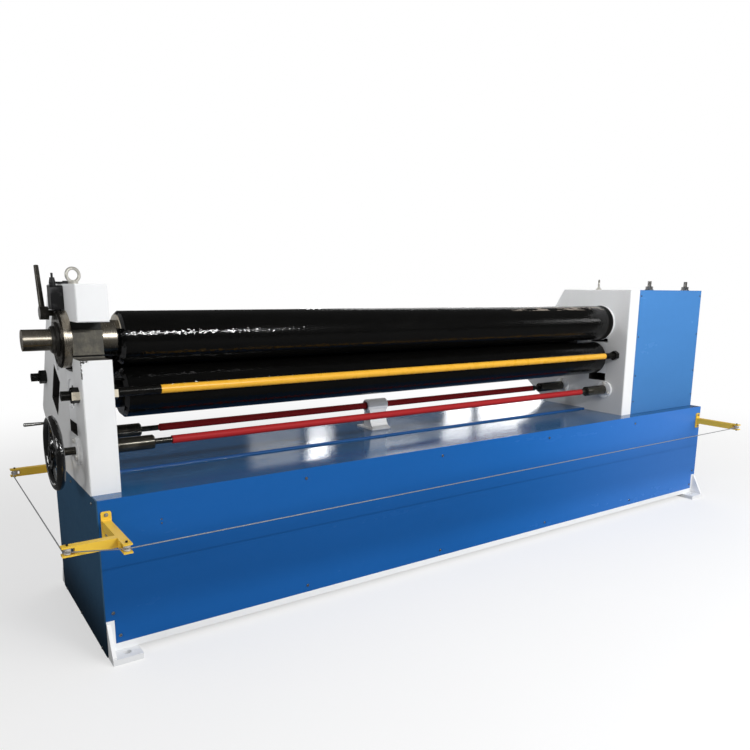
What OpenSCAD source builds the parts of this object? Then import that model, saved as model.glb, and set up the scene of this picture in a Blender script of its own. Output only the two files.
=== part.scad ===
// Three-roll plate bending machine with a drop-end upper roll.
// +X runs along the rolls towards the gear housing, +Y goes to the back, +Z is up.
// The origin is on the floor, in the middle of the four anchor bolts.

/* [Bed] */
// Length of the bed over its end panels
bed_l = 3350; // [3200:10:3500]
// Depth of the bed from front panel to rear panel
bed_d = 680; // [640:10:760]
// Height of the deck above the floor
bed_h = 533; // [480:1:600]
// Step of the raised deck under and behind the rolls
deck_step = 8; // [6:1:12]
// Distance of the deck step from the front panel
deck_step_y = 310; // [300:5:330]
// Bottom edge of the front and rear panels
panel_z = 45; // [40:1:60]
// Thickness of the cover sheets
sheet_t = 4; // [3:0.5:5]

/* [Feet] */
// Width of a foot plate along the bed
foot_w = 100; // [90:5:130]
// How far a foot plate stands out in front of the panel
foot_out = 62; // [55:1:80]
// Thickness of a foot plate
foot_t = 20; // [16:1:24]
// Height of the corner posts that show in the panel notches
post_h = 127; // [115:1:140]
// Width of a corner post
post_w = 30; // [26:1:36]
// Diameter of an anchor-bolt hole
anchor_d = 24; // [20:1:26]
// Anchor hole from the end of the bed
anchor_x = 58; // [50:1:60]
// Anchor hole outside the panel
anchor_y = 27; // [25:1:30]

/* [Frames] */
// Thickness of the drop-end frame
frame_l_t = 95; // [90:1:100]
// Thickness of the drive-side frame
frame_r_t = 80; // [76:1:90]
// Inner face of the drive-side frame from the bed's drop end
frame_r_x = 2695; // [2690:1:2700]
// Front face of both frames behind the front panel
frame_y = 64; // [55:1:70]
// Height of both frames
frame_top = 1194; // [1190:1:1200]
// Bottom of the drop-end slot
slot_z0 = 962; // [958:1:966]
// Top of the drop-end slot
slot_z1 = 1079; // [1075:1:1083]
// Rear wall of the drop-end slot
slot_y = 322; // [318:1:324]

/* [Rolls] */
// Diameter of the upper roll
upper_d = 180; // [174:1:184]
// Diameter of the lower roll
lower_d = 170; // [164:1:174]
// Diameter of the rear roll
rear_d = 170; // [164:1:174]
// Working length of the rolls
roll_l = 2508; // [2500:1:2512]
// Height of the upper roll's axis
upper_z = 1018; // [1016:1:1022]
// Height of the lower roll's axis
lower_z = 832; // [828:1:834]
// Depth of the upper and lower rolls' axes
nip_y = 240; // [236:1:244]
// Depth of the rear roll's axis
rear_y = 433; // [430:1:438]
// Height of the rear roll's axis
rear_z = 932; // [928:1:936]
// Lean of the rear roll's slideway from upright
rear_lean = 33.4; // [32:0.1:35]

/* [Shafts] */
// Depth of the front adjusting shaft
front_shaft_y = 182; // [180:1:184]
// Height of the front adjusting shaft
front_shaft_z = 661; // [658:1:661]
// Depth of the rear adjusting shaft
rear_shaft_y = 475; // [470:1:490]
// Height of the rear adjusting shaft
rear_shaft_z = 650; // [645:1:655]
// Diameter of the painted part of the shafts
shaft_d = 29; // [26:1:30]
// Diameter of the couplings
coupling_d = 50; // [46:1:54]
// Outer diameter of the handwheel
wheel_d = 244; // [230:2:260]

/* [Tie rods] */
// Diameter of the tie rods
tie_d = 30; // [28:1:32]
// Depth of the front tie rod
tie_front_y = 128; // [122:1:128]
// Height of the front tie rod
tie_front_z = 850; // [846:1:854]
// Depth of the rear tie rod
tie_rear_y = 690; // [685:1:700]
// Height of the rear tie rod
tie_rear_z = 848; // [842:1:850]

/* [Stop rope] */
// Reach of a rope bracket in front of the panel
arm_reach = 250; // [230:5:270]
// Height of the rope above the floor
rope_z = 453; // [440:1:460]
// Diameter of the rope
rope_d = 4; // [3:0.5:6]

/* [Hidden] */
$fn = 64;

blue = [0.11, 0.35, 0.64];
grey = [0.86, 0.87, 0.88];
black = [0.09, 0.09, 0.09];
steel = [0.42, 0.41, 0.38];
dark_steel = [0.17, 0.17, 0.17];
red = [0.68, 0.16, 0.18];
yellow = [0.93, 0.72, 0.25];

run = 0.05;              // radial running clearance of a shaft in its bore
slide = 0.5;             // clearance of a bearing block in its slideway
barrel_x = 152;          // start of the roll barrels
barrel_end = barrel_x + roll_l;
frame_inner = frame_l_t; // inner face of the drop-end frame
frame_r_end = frame_r_x + frame_r_t;
upper_journal = 78;      // journal of the upper roll in the drop-end block
shaft_end = 68;          // bare end of the upper roll outside the drop-end cover
cover_t = 30;            // thickness of the drop-end cover
idle_journal = 72;       // journals of the lower and rear rolls
block_h = 168;           // height of a lower bearing block
block_w = 107;           // depth of a lower bearing block
window_z0 = 707;         // bottom of the lower slideway
window_z1 = 935;         // top of the lower slideway
rear_block_w = 103;      // width of a rear bearing block across its slideway
rear_block_h = 110;      // length of a rear bearing block along its slideway
slideway_down = 215;     // rear slideway below the roll axis at rest
slideway_up = 66;        // rear slideway above the roll axis at rest
rod_end = 52;            // how far a tie rod stands out of the frames

arris = 3;               // bevel along the edges of the frames

// The bed's front left corner at the floor is the place that the pieces are set out from.
module machine() translate([-bed_l / 2, -bed_d / 2, 0]) children();

// The origin is the middle of the bed, so a plain mirror makes the back or the right-hand piece.

// A plate whose outline is given as depth and height, extruded along X.
module plate_yz(t) rotate([90, 0, 90]) linear_extrude(t) children();

// A round bar or ring along X.
module bar_x(d, x0, x1, y = 0, z = 0, hole = 0)
  translate([x0, y, z]) rotate([0, 90, 0]) difference() {
    cylinder(d = d, h = x1 - x0);
    if (hole > 0) translate([0, 0, -1]) cylinder(d = hole, h = x1 - x0 + 2);
  }

// A hexagon nut along X.
module nut_x(af, x0, x1, y, z)
  translate([x0, y, z]) rotate([0, 90, 0]) cylinder(d = af / cos(30), h = x1 - x0, $fn = 6);

// Cutters for a bevel along an edge that runs along X, Y or Z.
module bevel_x(x0, l, y, z) translate([x0 + l / 2, y, z]) rotate([45, 0, 0])
  cube([l, arris * sqrt(2), arris * sqrt(2)], center = true);
module bevel_y(y0, l, x, z) translate([x, y0 + l / 2, z]) rotate([0, 45, 0])
  cube([arris * sqrt(2), l, arris * sqrt(2)], center = true);
module bevel_z(z0, l, x, y) translate([x, y, z0 + l / 2]) rotate([0, 0, 45])
  cube([arris * sqrt(2), arris * sqrt(2), l], center = true);

// ---- bed ----

// Front sheet with a notch for the corner post at each end.
module panel() color(blue) machine() difference() {
  translate([sheet_t, 0, panel_z]) cube([bed_l - 2 * sheet_t, sheet_t, bed_h - panel_z]);
  for (x = [0, bed_l - post_w])
    translate([x - 1, -1, panel_z - 1]) cube([post_w + 2, sheet_t + 2, post_h - panel_z + 1]);
}
module front_panel() panel();
module rear_panel() mirror([0, 1, 0]) panel();

module end_panel() color(blue) machine() translate([0, 0, sheet_t]) cube([sheet_t, bed_d, bed_h - sheet_t]);
module end_panel_left() end_panel();
module end_panel_right() mirror([1, 0, 0]) end_panel();

module deck() color(blue) machine()
  translate([sheet_t, sheet_t, bed_h - 8]) cube([bed_l - 2 * sheet_t, bed_d - 2 * sheet_t, 8]);
// The raised deck's front edge is rolled down to the deck.
module raised_deck() color(blue) machine() {
  roll_y = deck_step_y + deck_step;
  translate([frame_inner, roll_y, bed_h]) cube([frame_r_x - frame_inner, bed_d - roll_y, deck_step]);
  intersection() {
    bar_x(2 * deck_step, frame_inner, frame_r_x, roll_y, bed_h);
    translate([frame_inner, deck_step_y, bed_h]) cube([frame_r_x - frame_inner, deck_step + 1, deck_step]);
  }
}

// Channel rails under the sheets: the bottom strip that shows below the blue panels.
rail_w = 60;
module rail(l) difference() {
  cube([l, rail_w, 80]);
  translate([-1, 8, 8]) cube([l + 2, rail_w, 64]);
}
module long_rails() color(grey) machine() for (side = [0, 1])
  translate([post_w, side * bed_d, foot_t]) mirror([0, side, 0]) difference() {
    rail(bed_l - 2 * post_w);
    translate([-1, -1, panel_z - foot_t]) cube([bed_l, sheet_t + 1, 80]);
  }
module cross_rails() color(grey) machine() for (x = [bed_l / 4, bed_l / 2, bed_l * 3 / 4])
  translate([x - 30, rail_w, foot_t]) difference() {
    cube([60, bed_d - 2 * rail_w, 80]);
    translate([6, -1, 8]) cube([60, bed_d, 64]);
  }

// Foot: plate with an anchor hole, corner post and a triangular gusset at the outer end.
module foot() color(grey) machine() {
  difference() {
    translate([sheet_t, -foot_out, 0]) cube([foot_w - sheet_t, foot_out + rail_w, foot_t]);
    translate([anchor_x, -anchor_y, -1]) cylinder(d = anchor_d, h = foot_t + 2);
  }
  translate([sheet_t, 0, foot_t]) cube([post_w - sheet_t, 20, post_h - foot_t]);
  translate([sheet_t, 0, 0]) plate_yz(12)
    polygon([[1, foot_t - 1], [1, post_h - 6], [-6, post_h - 6],
             [4 - foot_out, foot_t + 6], [4 - foot_out, foot_t - 1]]);
}
module foot_front_left() foot();
module foot_front_right() mirror([1, 0, 0]) foot();
module foot_rear_left() mirror([0, 1, 0]) foot();
module foot_rear_right() mirror([1, 0, 0]) mirror([0, 1, 0]) foot();

// ---- frames ----

// Outline of both frames: upright front, sloping rear with its nose over the rear slideway.
module frame_outline() polygon([
  [frame_y, bed_h], [583, bed_h], [806, 694], [820, 706], [820, 722], [806, 740],
  [502, frame_top], [frame_y, frame_top]]);
module lower_window() translate([nip_y - block_w / 2 - slide, window_z0])
  square([block_w + 2 * slide, window_z1 - window_z0]);
module rear_window() translate([rear_y, rear_z]) rotate(rear_lean)
  translate([-rear_block_w / 2 - slide, -slideway_down])
    square([rear_block_w + 2 * slide, slideway_down + slideway_up]);
module frame_bores(t) {
  for (p = [[tie_front_y, tie_front_z], [tie_rear_y, tie_rear_z]])
    bar_x(tie_d + 1, -1, t + 1, p[0], p[1]);
  bar_x(26 + 2 * run, -1, t + 1, front_shaft_y, front_shaft_z);
  bar_x(26 + 2 * run, -1, t + 1, rear_shaft_y, rear_shaft_z);
}
module frame_bevels(t) {
  for (x = [0, t]) {
    bevel_z(bed_h - 1, frame_top - bed_h + 2, x, frame_y);
    bevel_y(frame_y - 5, 470, x, frame_top);
  }
  bevel_x(-1, t + 2, frame_y, frame_top);
}
module left_frame() color(grey) machine() difference() {
  plate_yz(frame_l_t) difference() {
    frame_outline();
    lower_window();
    rear_window();
    translate([0, slot_z0]) square([slot_y, slot_z1 - slot_z0]);
  }
  frame_bores(frame_l_t);
  frame_bevels(frame_l_t);
  for (z = [slot_z0, slot_z1]) bevel_x(-1, frame_l_t + 2, frame_y, z);
}
module right_frame() color(grey) machine() translate([frame_r_x, 0, 0]) difference() {
  plate_yz(frame_r_t) difference() {
    frame_outline();
    lower_window();
    rear_window();
  }
  frame_bores(frame_r_t);
  frame_bevels(frame_r_t);
  bar_x(120 + 2 * run, -1, frame_r_t + 1, nip_y, upper_z);
}

// Drop-end bearing: machined block on two slide plates, with a set-back keeper over it,
// open to the front between column and cap.
block_front = frame_y + 100;
block_z0 = slot_z0 + 13;
block_z1 = slot_z0 + 90;
module drop_end_layer(y0, z0, z1) translate([0, y0, z0]) cube([frame_l_t, slot_y - 1 - y0, z1 - z0]);
module drop_end_block() color(steel) machine() difference() {
  union() {
    drop_end_layer(block_front - 6, slot_z0, slot_z0 + 4);
    drop_end_layer(block_front + 12, slot_z0 + 4, slot_z0 + 9);
    drop_end_layer(block_front - 4, slot_z0 + 9, block_z0);
    drop_end_layer(block_front, block_z0, block_z1);
    drop_end_layer(block_front + 16, block_z1, slot_z1 - 1);
  }
  bar_x(upper_journal + 2 * run, -1, frame_l_t + 1, nip_y, upper_z);
  bevel_x(-1, frame_l_t + 2, block_front, block_z1);
}
module drop_end_cover() color(dark_steel) machine() translate([0, nip_y, upper_z]) rotate([0, -90, 0])
  difference() {
    union() {
      cylinder(d = 184, h = cover_t - 6);
      translate([0, 0, cover_t - 6]) cylinder(d1 = 184, d2 = 172, h = 6);
    }
    translate([0, 0, -1]) cylinder(d = upper_journal + 2, h = cover_t + 2);
  }
module bearing_ring() color(grey) machine()
  bar_x(184, frame_r_x - 14, frame_r_x, nip_y, upper_z, 122);

// Lock of the drop end: block on the outer face, strap on top, hand lever beside it.
module lock_block() color(dark_steel) machine() difference() {
  union() {
    translate([-38, 0, 0]) plate_yz(38)
      polygon([[236, 1113], [290, 1113], [290, frame_top - 5], [242, frame_top - 5], [236, frame_top - 11]]);
    translate([-20, 0, 0]) plate_yz(20)
      polygon([[290, 1104], [316, 1078], [342, 1084], [342, 1168], [322, 1186], [290, 1186]]);
    translate([-25, 264, frame_top - 5]) {
      cylinder(d = 20, h = 10);
      translate([0, 0, 10]) cylinder(d1 = 20, d2 = 14, h = 15);
      translate([0, 0, 25]) cylinder(d = 7, h = 14);
    }
  }
  bar_x(20 + 2 * run, -21, -4, 318, 1100);
}
module lock_strap() color(dark_steel) machine() {
  translate([-6, 284, frame_top]) cube([30, 36, 7]);
  for (x = [-6, 24]) translate([x, 302, frame_top]) cylinder(d1 = 36, d2 = 32, h = 7);
  translate([24, 302, frame_top + 7]) cylinder(d = 24, h = 3);
}
// Eight-sided boss with a tapered lever, on a round pin in the lock block.
module lock_handle() color(dark_steel) machine() {
  bar_x(20, -cover_t - 6, -6, 318, 1100);
  translate([-62, 318, 1100]) rotate([0, 90, 0]) rotate(22.5) cylinder(d = 46, h = 26, $fn = 8);
  translate([-52, 318, 1100]) rotate([-18, 0, 0]) translate([0, 0, 15]) cylinder(d1 = 18, d2 = 15, h = 145);
}

// Lifting eye: collar, neck and a round ring, screwed in until it is tight.
module eye_bolt(turn) rotate(turn) {
  cylinder(d = 30, h = 6);
  cylinder(d = 18, h = 12);
  translate([0, 0, 28]) rotate([90, 0, 0]) rotate_extrude() translate([21, 0]) circle(d = 10);
}
module eye_bolt_left() color(steel) machine() translate([33, nip_y, frame_top]) eye_bolt(15);
module eye_bolt_right() color(steel) machine()
  translate([frame_r_x + frame_r_t / 2, 300, frame_top]) eye_bolt(37);

module gear_housing() color(blue) machine() translate([frame_r_end, 0, 0])
  plate_yz(bed_l - frame_r_end)
    polygon([[frame_y + 2, bed_h], [600, bed_h], [600, 1110], [545, frame_top], [frame_y + 2, frame_top]]);
module gear_housing_studs() color(steel) machine() for (x = [2945, 3285])
  translate([x, 130, frame_top]) {
    cylinder(d = 46, h = 4);
    translate([0, 0, 4]) cylinder(d = 38, h = 16, $fn = 6);
    translate([0, 0, 20]) cylinder(d = 20, h = 28);
  }

// ---- rolls ----

// Barrel with a chamfer at each end.
module chamfered_barrel(d, y, z) translate([barrel_x, y, z]) rotate([0, 90, 0]) rotate_extrude()
  polygon([[0, 0], [d / 2 - 12, 0], [d / 2, 12], [d / 2, roll_l - 12], [d / 2 - 12, roll_l], [0, roll_l]]);

module upper_roll() color(black) machine() {
  chamfered_barrel(upper_d, nip_y, upper_z);
  bar_x(120, frame_inner + 3, barrel_x, nip_y, upper_z);
  bar_x(upper_journal, -30, frame_inner + 3, nip_y, upper_z);
  bar_x(shaft_end, -132, -30, nip_y, upper_z);
  bar_x(120, barrel_end, frame_r_end - 8, nip_y, upper_z);
}
// Collar and ring nut that hold the upper roll in its drop-end block.
module shaft_nuts() color(dark_steel) machine() translate([-cover_t - 1, nip_y, upper_z]) rotate([0, -90, 0])
  difference() {
    union() {
      cylinder(d1 = 112, d2 = 106, h = 7);
      cylinder(d = 88, h = 14);
      translate([0, 0, 14]) cylinder(d1 = 88, d2 = 80, h = 4);
    }
    translate([0, 0, -1]) cylinder(d = shaft_end, h = 20);
  }

module idle_roll(d, y, z) {
  chamfered_barrel(d, y, z);
  bar_x(idle_journal, 8, frame_inner + 3, y, z);
  bar_x(100, frame_inner + 3, barrel_x, y, z);
  bar_x(100, barrel_end, frame_r_x - 3, y, z);
  bar_x(idle_journal, frame_r_x - 3, frame_r_end - 15, y, z);
}
module lower_roll() color(black) machine() idle_roll(lower_d, nip_y, lower_z);
module rear_roll() color(black) machine() idle_roll(rear_d, rear_y, rear_z);

// The left blocks are open at the outer end, where the journals show, and the right ones are blind.
module journal_bore(x0, x1, y, z) bar_x(idle_journal + 2 * run, x0, x1, y, z);
block_r_t = frame_r_t - 1;
module lower_block(x, t)
  translate([x, nip_y - block_w / 2, lower_z - block_h / 2]) cube([t, block_w, block_h]);
module lower_block_left() color(grey) machine() difference() {
  lower_block(0, frame_l_t);
  journal_bore(-1, frame_l_t + 1, nip_y, lower_z);
  bar_x(100, -1, 6, nip_y, lower_z + 8);
}
module lower_block_right() color(grey) machine() difference() {
  lower_block(frame_r_x, block_r_t);
  journal_bore(frame_r_x - 1, frame_r_end - 10, nip_y, lower_z);
}

module rear_block(x, t) translate([x, rear_y, rear_z]) rotate([rear_lean, 0, 0])
  translate([0, -rear_block_w / 2, -rear_block_h / 2]) cube([t, rear_block_w, rear_block_h]);
module rear_block_left() color(grey) machine() difference() {
  rear_block(0, frame_l_t);
  journal_bore(-1, frame_l_t + 1, rear_y, rear_z);
}
module rear_block_right() color(grey) machine() difference() {
  rear_block(frame_r_x, block_r_t);
  journal_bore(frame_r_x - 1, frame_r_end - 10, rear_y, rear_z);
}

// ---- tie rods and shafts ----

module tie_rod(y, z) {
  bar_x(tie_d, -rod_end, frame_r_end - 2, y, z);
  nut_x(44, -24, 0, y, z);
  nut_x(44, frame_inner, frame_inner + 22, y, z);
  nut_x(44, frame_r_x - 24, frame_r_x, y, z);
}
module front_tie_rod() color(yellow) machine() tie_rod(tie_front_y, tie_front_z);
module rear_tie_rod() color(yellow) machine() tie_rod(tie_rear_y, tie_rear_z);

// Shaft with thin ends that run through the couplings, and stubs in the frames.
coupling_x0 = frame_inner + 17;
coupling_x1 = frame_r_x - 17;
module adjusting_shaft(y, z, x_left, x0, x1) {
  bar_x(26, x_left, coupling_x0, y, z);
  bar_x(21, coupling_x0, x0, y, z);
  bar_x(shaft_d, x0, x1, y, z);
  bar_x(21, x1, coupling_x1, y, z);
  bar_x(26, coupling_x1, frame_r_end - 10, y, z);
}
// Sleeve with a chamfer at each end, over the thin ends of the shaft.
module coupling(x0, x1, y, z) translate([x0, y, z]) rotate([0, 90, 0]) rotate_extrude()
  polygon([[10.5, 0], [coupling_d / 2 - 4, 0], [coupling_d / 2, 4], [coupling_d / 2, x1 - x0 - 4],
           [coupling_d / 2 - 4, x1 - x0], [10.5, x1 - x0]]);
module couplings(left_end, right_start, y, z) {
  coupling(coupling_x0, left_end, y, z);
  coupling(right_start, coupling_x1, y, z);
}
module front_shaft() color(red) machine() adjusting_shaft(front_shaft_y, front_shaft_z, -78, 306, 2508);
module front_couplings() color(dark_steel) machine() couplings(243, 2529, front_shaft_y, front_shaft_z);
module rear_shaft() color(red) machine() adjusting_shaft(rear_shaft_y, rear_shaft_z, 15, 354, 2455);
module rear_couplings() color(dark_steel) machine() couplings(280, 2492, rear_shaft_y, rear_shaft_z);

module flange(x0, y, z) bar_x(90, x0, x0 + 12, y, z, 27);
module wheel_flange() color(grey) machine() flange(-12, front_shaft_y, front_shaft_z);
module left_flanges() color(grey) machine() {
  flange(frame_inner, front_shaft_y, front_shaft_z);
  flange(frame_inner, rear_shaft_y, rear_shaft_z);
}
module right_flanges() color(grey) machine() {
  flange(frame_r_x - 12, front_shaft_y, front_shaft_z);
  flange(frame_r_x - 12, rear_shaft_y, rear_shaft_z);
}

// Handwheel: round rim, three curved spokes and a hub on the front shaft.
wheel_x = -76;
rim_r = wheel_d / 2 - 13;
// A spoke is the stretch of a ring that leaves the hub and ends in the rim.
spoke_r = 72;
module spoke() intersection() {
  translate([rim_r / 2, sqrt(spoke_r * spoke_r - rim_r * rim_r / 4), -6]) difference() {
    cylinder(r = spoke_r + 8, h = 12);
    translate([0, 0, -1]) cylinder(r = spoke_r - 8, h = 14);
  }
  translate([0, -spoke_r, -7]) cube([rim_r, spoke_r + 10, 14]);
}
module handwheel() color(black) machine()
  translate([wheel_x, front_shaft_y, front_shaft_z]) rotate([0, 90, 0]) {
    rotate_extrude() translate([rim_r, 0]) circle(d = 26);
    difference() {
      union() {
        translate([0, 0, -14]) cylinder(d = 48, h = 28);
        translate([0, 0, 14]) cylinder(d = 40, h = 14);
        for (a = [60, 180, 300]) rotate(a) spoke();
      }
      translate([0, 0, -15]) cylinder(d = 26, h = 44);
    }
  }
module handwheel_grip() color(steel) machine()
  translate([0, front_shaft_y, front_shaft_z]) rotate([-36, 0, 0])
    translate([-148, 0, rim_r]) rotate([0, 90, 0]) {
      cylinder(d1 = 9, d2 = 12, h = 3);
      translate([0, 0, 3]) cylinder(d1 = 12, d2 = 9, h = 57);
      translate([0, 0, 60]) cylinder(d = 9, h = 12);
    }

// Bearing that carries the rear shaft half way: a tube on a web that flares down to its base.
bearing_x = 1318;
bearing_l = 112;
module centre_bearing() color(grey) machine() translate([bearing_x, rear_shaft_y, 0]) {
  seat = bed_h + deck_step;
  difference() {
    union() {
      translate([0, 0, rear_shaft_z]) rotate([0, 90, 0]) rotate_extrude()
        polygon([[0, 0], [25, 0], [29, 4], [29, bearing_l - 4], [25, bearing_l], [0, bearing_l]]);
      translate([10, 0, 0]) plate_yz(bearing_l - 20) polygon([
        [-60, seat + 7], [-42, seat + 13], [-30, seat + 30], [-24, seat + 60], [-24, rear_shaft_z - 8],
        [24, rear_shaft_z - 8], [24, seat + 40], [30, seat + 10], [30, seat + 7]]);
      translate([0, -60, seat]) cube([bearing_l - 10, 130, 8]);
    }
    bar_x(42, -1, bearing_l + 1, 0, rear_shaft_z);
    for (x = [20, bearing_l - 30]) translate([x, 50, seat - 1]) cylinder(d = 11, h = 10);
  }
}

// ---- stop rope ----

arm_w = 26;
arm_h = 30;
arm_x = 27;              // middle of a bracket from the end of the bed
side_y = 170;            // middle of the side arm in front of the panel
roller_x = 120;
roller_in = 16;          // roller pin from the tip of its fork
pin_d = 7;
roller_y = arm_reach - roller_in;
module arm_fork(l) difference() {
  translate([-arm_w / 2, 0, -arm_h / 2]) cube([arm_w, l, arm_h]);
  translate([-arm_w / 2 - 1, l - 34, -10]) cube([arm_w + 2, 40, 20]);
  translate([0, l - roller_in, -arm_h]) cylinder(d = pin_d + 2 * run, h = 2 * arm_h);
}
// Wall plate with round upper corners and two bolt holes.
module wall_plate(w, h, t, r) rotate([90, 0, 0]) difference() {
  union() {
    translate([-w / 2, 0, 0]) cube([w, h - r, t]);
    translate([r - w / 2, 0, 0]) cube([w - 2 * r, h, t]);
    for (x = [r - w / 2, w / 2 - r]) translate([x, h - r, 0]) cylinder(r = r, h = t);
  }
  for (z = [9, h - 11]) translate([0, z, -1]) cylinder(d = 9, h = t + 2);
}
module bracket(side_arm) color(yellow) machine() {
  translate([arm_x, 0, rope_z - 40]) wall_plate(32, 84, 5, 6);
  translate([arm_x, -5, rope_z]) rotate([0, 0, 180]) arm_fork(arm_reach - 5);
  if (side_arm) translate([arm_x - arm_w / 2, -side_y, rope_z]) rotate([0, 0, 90])
    arm_fork(roller_x + roller_in + arm_x - arm_w / 2);
}
module rope_bracket_front_left() bracket(true);
module rope_bracket_rear_left() mirror([0, 1, 0]) bracket(true);
module rope_bracket_front_right() mirror([1, 0, 0]) bracket(false);
module rope_bracket_rear_right() mirror([1, 0, 0]) mirror([0, 1, 0]) bracket(false);

module roller(x, y) translate([x, y, rope_z]) {
  translate([0, 0, -9]) cylinder(d = 20, h = 18);
  translate([0, 0, -20]) cylinder(d = pin_d, h = 40);
}
module rope_rollers() color(steel) for (m = [0, 1]) mirror([0, m, 0]) machine() {
  roller(arm_x, -roller_y);
  roller(-roller_x, -side_y);
  roller(bed_l - arm_x, -roller_y);
}

// Straight run of rope between two points.
module rope_run(a, b) {
  d = b - a;
  translate([a[0], a[1], rope_z]) rotate([0, 90, atan2(d[1], d[0])]) cylinder(d = rope_d, h = norm(d));
}

// The rope runs from the right bracket to the corner roller, on to the side roller and to the back.
// Each taut run ends where it meets a roller.
wrap = 10 + rope_d / 2;
corner_roller = [arm_x, -roller_y];
side_roller = [-roller_x, -side_y];
slant = atan2(roller_y - side_y, arm_x + roller_x);
slant_side = wrap * [cos(270 - slant), sin(270 - slant)];
module rope_runs() {
  rope_run(corner_roller + [0, -wrap], [bed_l - arm_x, -roller_y - wrap]);
  rope_run(side_roller + slant_side, corner_roller + slant_side);
}
module stop_rope() color(steel) {
  machine() {
    rope_runs();
    rope_run(side_roller + [-wrap, 0], [-roller_x - wrap, bed_d + side_y]);
  }
  mirror([0, 1, 0]) machine() rope_runs();
}

front_panel();
rear_panel();
end_panel_left();
end_panel_right();
deck();
raised_deck();
long_rails();
cross_rails();
foot_front_left();
foot_front_right();
foot_rear_left();
foot_rear_right();
left_frame();
right_frame();
drop_end_block();
drop_end_cover();
bearing_ring();
gear_housing();
gear_housing_studs();
upper_roll();
shaft_nuts();
lower_roll();
lower_block_left();
lower_block_right();
rear_roll();
rear_block_left();
rear_block_right();
front_tie_rod();
rear_tie_rod();
front_shaft();
front_couplings();
handwheel();
handwheel_grip();
rear_shaft();
rear_couplings();
wheel_flange();
left_flanges();
right_flanges();
centre_bearing();
lock_block();
lock_strap();
lock_handle();
eye_bolt_left();
eye_bolt_right();
rope_bracket_front_left();
rope_bracket_rear_left();
rope_bracket_front_right();
rope_bracket_rear_right();
rope_rollers();
stop_rope();
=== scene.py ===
import math

import bmesh
import bpy
from bpy.props import FloatProperty, FloatVectorProperty, IntProperty, PointerProperty
from mathutils import Matrix, Vector


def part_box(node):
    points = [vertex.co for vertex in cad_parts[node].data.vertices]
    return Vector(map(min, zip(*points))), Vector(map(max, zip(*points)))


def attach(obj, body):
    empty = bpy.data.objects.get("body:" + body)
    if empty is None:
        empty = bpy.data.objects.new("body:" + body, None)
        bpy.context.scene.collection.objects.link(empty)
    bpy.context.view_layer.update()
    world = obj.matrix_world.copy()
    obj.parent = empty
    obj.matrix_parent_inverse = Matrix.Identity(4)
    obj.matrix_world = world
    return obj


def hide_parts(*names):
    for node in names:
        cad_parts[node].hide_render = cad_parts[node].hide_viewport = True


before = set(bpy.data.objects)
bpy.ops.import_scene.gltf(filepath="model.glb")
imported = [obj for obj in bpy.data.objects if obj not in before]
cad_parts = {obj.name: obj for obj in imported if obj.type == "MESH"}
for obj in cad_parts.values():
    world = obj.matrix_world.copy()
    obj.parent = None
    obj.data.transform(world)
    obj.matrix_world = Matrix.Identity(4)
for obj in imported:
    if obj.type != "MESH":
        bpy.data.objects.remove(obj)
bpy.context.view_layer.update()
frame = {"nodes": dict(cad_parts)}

bl_info = {
    "name": "Plate bender",
    "version": (1, 0, 0),
    "blender": (4, 5, 0),
    "location": "3D View > Sidebar > Plate bender",
    "description": "Finishes, fasteners, stop rope and studio of a three-roll plate bending machine",
    "category": "Add Mesh",
}

MM = 0.001


# ---- places ----

def low(node):
    """Lowest corner of a CAD node."""
    return Vector(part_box(node)[0])


def high(node):
    """Highest corner of a CAD node."""
    return Vector(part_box(node)[1])


def middle(node):
    """Middle of a CAD node's box."""
    return (low(node) + high(node)) / 2


BED_LEFT = low("end_panel_left").x
BED_RIGHT = high("end_panel_right").x
BED_FRONT = low("front_panel").y
BED_BACK = high("rear_panel").y
DECK_Z = high("deck").z


def from_left(millimetres):
    """A place along the machine, measured from the bed's left end."""
    return BED_LEFT + millimetres * MM


def from_front(millimetres):
    """A depth, measured from the bed's front sheet."""
    return BED_FRONT + millimetres * MM


BARREL_LEFT = from_left(152)
BARREL_RIGHT = BARREL_LEFT + 2508 * MM
ROD_PAINT = (from_left(260), from_left(2600))
SHAFT_PAINT = {"front_shaft": (from_left(306), from_left(2493)),
               "rear_shaft": (from_left(346), from_left(2433))}
OUTER_NUT = (from_left(-24), BED_LEFT)
INNER_NUT = (from_left(95), from_left(117))
BRACKETS_X = (from_left(27), BED_RIGHT - 27 * MM)
SHEET_THICK = 1.6 * MM
CAMERA_PLACE = Vector((-2.1255, -2.5249, 1.1846))


# ---- nodes as expressions ----

def maths(operation, swapped=False):
    """A method of Wire that adds one Math node. The wire is its first value, or its last where swapped."""

    def method(wire, *others):
        values = (*others, wire) if swapped else (wire, *others)
        return wire.nodes.add("ShaderNodeMath", dict(enumerate(values)), operation=operation)

    return method


class Wire:
    """An output of a node. Sums, products and powers of wires add Math nodes."""

    def __init__(self, nodes, socket):
        self.nodes = nodes
        self.socket = socket

    __add__ = __radd__ = maths("ADD")
    __sub__, __rsub__ = maths("SUBTRACT"), maths("SUBTRACT", swapped=True)
    __mul__ = __rmul__ = maths("MULTIPLY")
    __truediv__ = maths("DIVIDE")
    __pow__ = maths("POWER")
    __gt__, __lt__ = maths("GREATER_THAN"), maths("LESS_THAN")
    __abs__ = maths("ABSOLUTE")
    either = maths("MAXIMUM")

    def beside(self, name):
        """Another output of the same node."""
        return Wire(self.nodes, self.socket.node.outputs[name])

    def rise(self, start, end):
        """0 below start, 1 above end, smooth between them."""
        values = {"Value": self, "From Min": start, "From Max": end}
        return self.nodes.add("ShaderNodeMapRange", values, interpolation_type="SMOOTHSTEP")

    def within(self, start, end, soft):
        """1 between start and end, falling to 0 over a soft edge."""
        return self.rise(start - soft, start) * (1 - self.rise(end, end + soft))


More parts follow.
